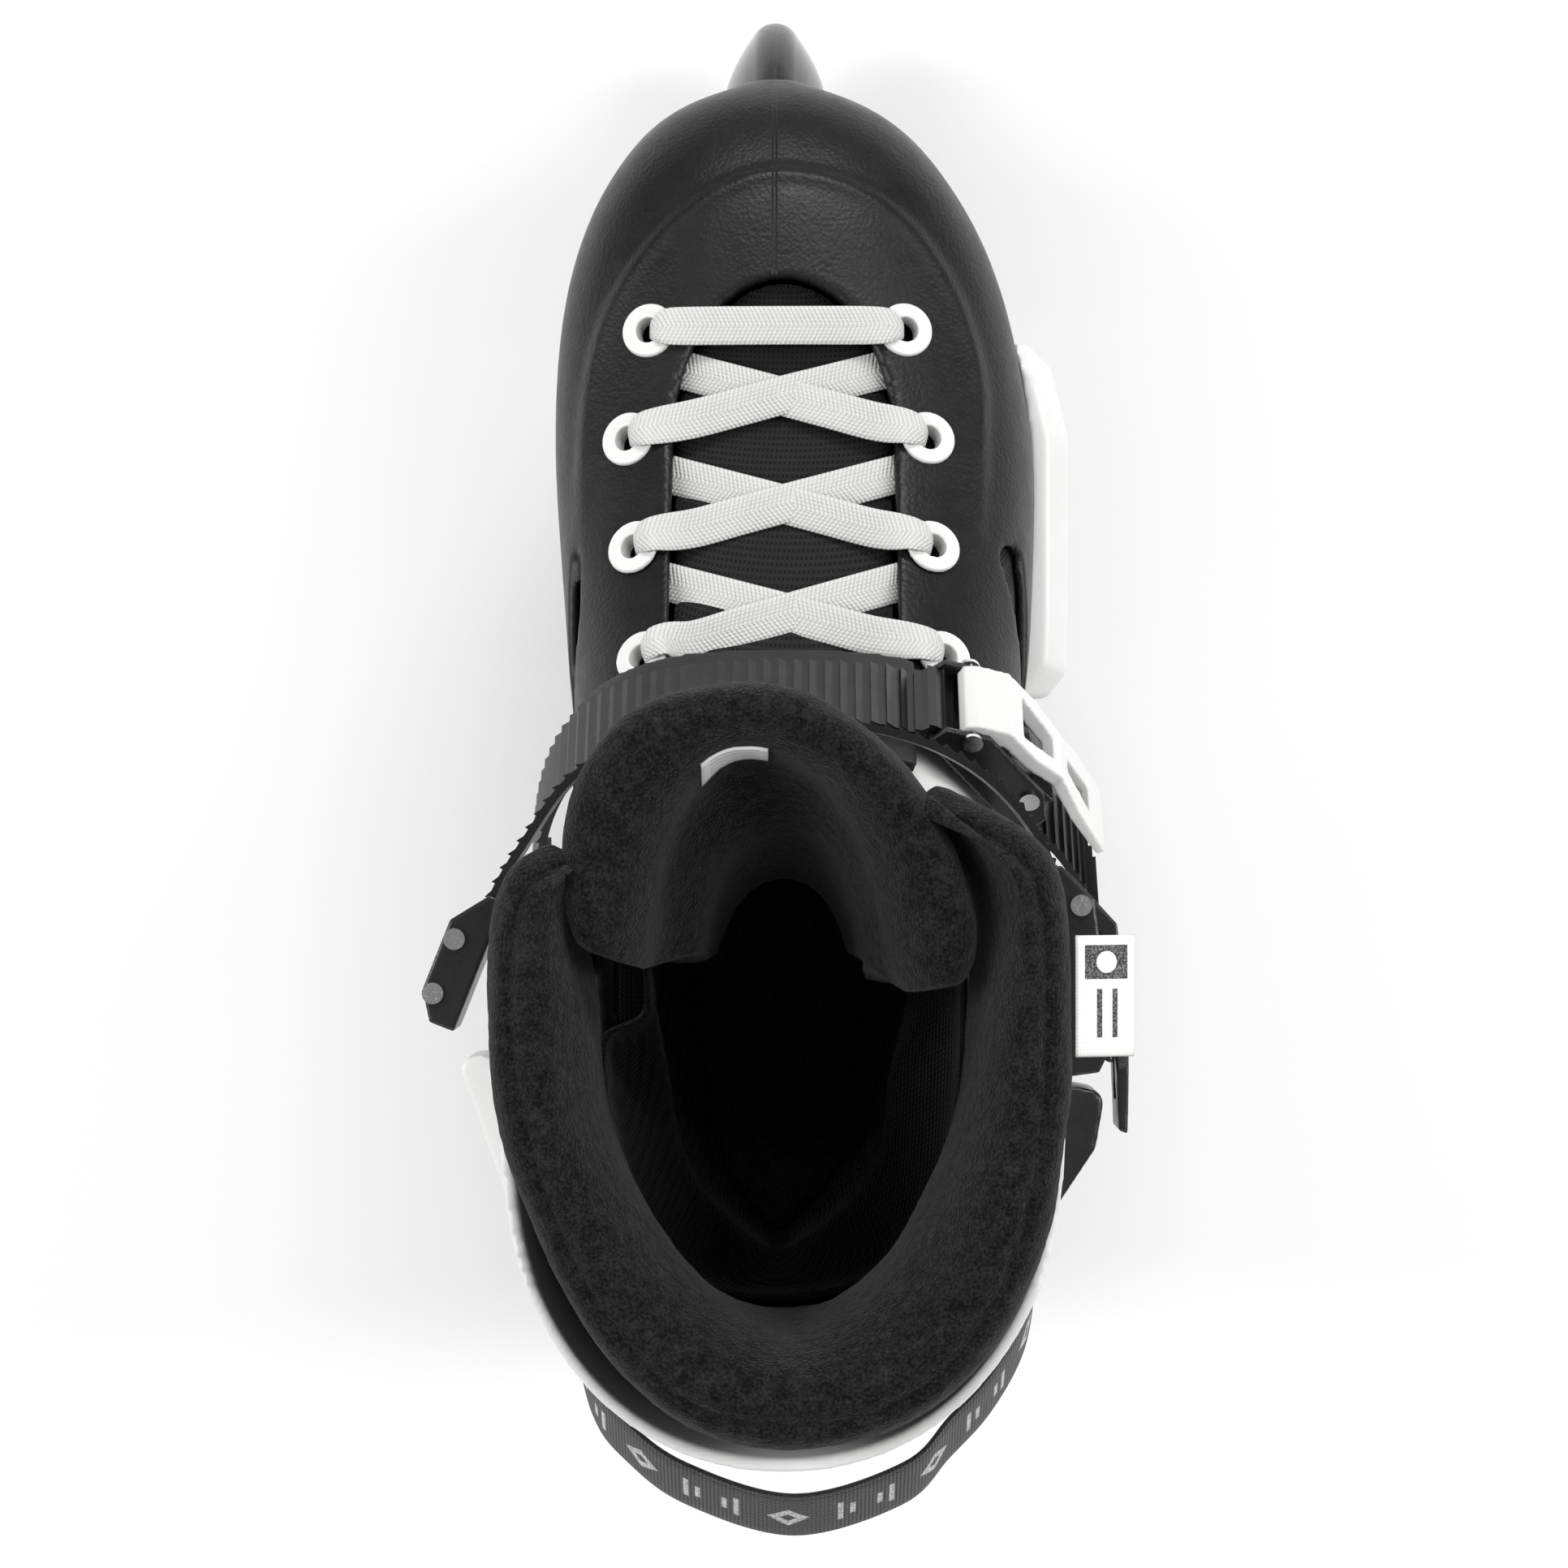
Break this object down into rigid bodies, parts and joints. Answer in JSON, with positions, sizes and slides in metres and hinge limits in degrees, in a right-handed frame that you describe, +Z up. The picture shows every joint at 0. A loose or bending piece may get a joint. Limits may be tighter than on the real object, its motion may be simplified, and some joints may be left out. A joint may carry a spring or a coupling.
{
  "type": "inline skate",
  "caption": "Right-foot hard-shell inline skate with a hinged cuff, laces, ratchet buckles and four wheels in line on an aluminium frame.",
  "frame": {"origin": "centre of the bounding box, on the ground under the wheels", "axes": "+Y to the toe along the wheel line, +X to the outer side of the right foot, +Z up"},
  "size_m": [0.1517, 0.3538, 0.3219],
  "materials": {
    "shell_black": "satin, fine leather grain",
    "liner_fabric": "woven mesh",
    "collar_fabric": "brushed fleece",
    "footbed_foam": "felted",
    "cuff_white": "satin",
    "slider_white": "satin",
    "eyelet_white": "gloss",
    "lace_white": "flat braid",
    "steel": "satin",
    "pin_steel": "polished",
    "bearing_steel": "ground",
    "shield": "satin",
    "frame_black": "black anodised, satin",
    "bush_grey": "matte",
    "bolt_black": "satin",
    "pad_black": "matte",
    "ladder_black": "satin",
    "buckle_black": "satin",
    "lever_white": "satin",
    "webbing_black": "jacquard webbing",
    "tab_white": "woven label",
    "tyre_black": "satin polyurethane",
    "hub_black": "satin"
  },
  "bodies": {
    "boot": {"boot_shell": "shell_black", "eyelet": "eyelet_white", "lace": "lace_white", "side_slider": "slider_white", "slider_screw": "steel", "liner_foot": "liner_fabric", "footbed": "footbed_foam", "tongue_lower": "liner_fabric", "frame": "frame_black", "frame_bolt": "steel", "axle": "steel", "axle_screw": "steel", "bearing_inner": "bearing_steel", "bearing_spacer": "steel", "cuff_pivot_bolt": "bolt_black", "cuff_pivot_nut": "steel", "instep_pad": "pad_black", "instep_ladder": "ladder_black", "instep_base_strap": "ladder_black", "instep_buckle_base": "buckle_black", "instep_buckle_pin": "pin_steel", "instep_spring": "steel"},
    "wheel_1": {"tyre_1": "tyre_black", "hub_1": "hub_black", "bearing_outer_1": "bearing_steel", "bearing_shield_1": "shield", "bearing_ball_1": "bearing_steel"},
    "wheel_2": {"tyre_2": "tyre_black", "hub_2": "hub_black", "bearing_outer_2": "bearing_steel", "bearing_shield_2": "shield", "bearing_ball_2": "bearing_steel"},
    "wheel_3": {"tyre_3": "tyre_black", "hub_3": "hub_black", "bearing_outer_3": "bearing_steel", "bearing_shield_3": "shield", "bearing_ball_3": "bearing_steel"},
    "wheel_4": {"tyre_4": "tyre_black", "hub_4": "hub_black", "bearing_outer_4": "bearing_steel", "bearing_shield_4": "shield", "bearing_ball_4": "bearing_steel"},
    "cuff": {"cuff": "cuff_white", "cuff_bushing": "bush_grey", "liner_collar": "collar_fabric", "tongue_top": "collar_fabric", "heel_loop": "webbing_black", "side_tab": "tab_white", "cuff_ladder": "ladder_black", "cuff_buckle_base": "buckle_black", "cuff_strap_pin": "pin_steel", "cuff_adjuster_base": "buckle_black", "cuff_spring": "steel", "strap_cover_inner": "cuff_white", "strap_cover_outer": "buckle_black"},
    "instep_lever": {"instep_lever": "lever_white"},
    "instep_pawl": {"instep_pawl": "buckle_black"},
    "cuff_lever": {"cuff_lever": "buckle_black"},
    "cuff_pawl": {"cuff_pawl": "buckle_black"},
    "cuff_adjuster_pawl": {"cuff_adjuster_pawl": "buckle_black"}
  },
  "joints": [
    {"name": "wheel_1_spin", "type": "hinge", "parent": "boot", "child": "wheel_1", "pos_m": [0, 0.137, 0.04], "axis": [1, 0, 0], "continuous": true},
    {"name": "wheel_2_spin", "type": "hinge", "parent": "boot", "child": "wheel_2", "pos_m": [0, 0.056, 0.04], "axis": [1, 0, 0], "continuous": true},
    {"name": "wheel_3_spin", "type": "hinge", "parent": "boot", "child": "wheel_3", "pos_m": [0, -0.025, 0.04], "axis": [1, 0, 0], "continuous": true},
    {"name": "wheel_4_spin", "type": "hinge", "parent": "boot", "child": "wheel_4", "pos_m": [0, -0.106, 0.04], "axis": [1, 0, 0], "continuous": true},
    {"name": "cuff_flex", "type": "hinge", "parent": "boot", "child": "cuff", "pos_m": [0, -0.045, 0.165], "axis": [-1, 0, 0], "range_deg": [-4, 8], "stiffness_Nm_per_rad": 2},
    {"name": "instep_lever_lift", "type": "hinge", "parent": "boot", "child": "instep_lever", "pos_m": [0.04401, 0.0036, 0.20297], "axis": [0, -0.6157, 0.788], "range_deg": [0, 70]},
    {"name": "instep_pawl_lift", "type": "hinge", "parent": "boot", "child": "instep_pawl", "pos_m": [0.05702, -0.00939, 0.19282], "axis": [0, 0.6157, -0.788], "range_deg": [0, 12], "stiffness_Nm_per_rad": 0.03, "springref_deg": -11.46},
    {"name": "cuff_lever_lift", "type": "hinge", "parent": "cuff", "child": "cuff_lever", "pos_m": [0.0658, -0.03997, 0.244], "axis": [0, 0, 1], "range_deg": [0, 70]},
    {"name": "cuff_pawl_lift", "type": "hinge", "parent": "cuff", "child": "cuff_pawl", "pos_m": [0.06971, -0.06868, 0.244], "axis": [0, 0, -1], "range_deg": [0, 12], "stiffness_Nm_per_rad": 0.03, "springref_deg": -11.46},
    {"name": "cuff_adjuster_pawl_lift", "type": "hinge", "parent": "cuff", "child": "cuff_adjuster_pawl", "pos_m": [-0.06839, -0.04718, 0.244], "axis": [0, 0, 1], "range_deg": [0, 12], "stiffness_Nm_per_rad": 0.03, "springref_deg": -11.46}
  ]
}
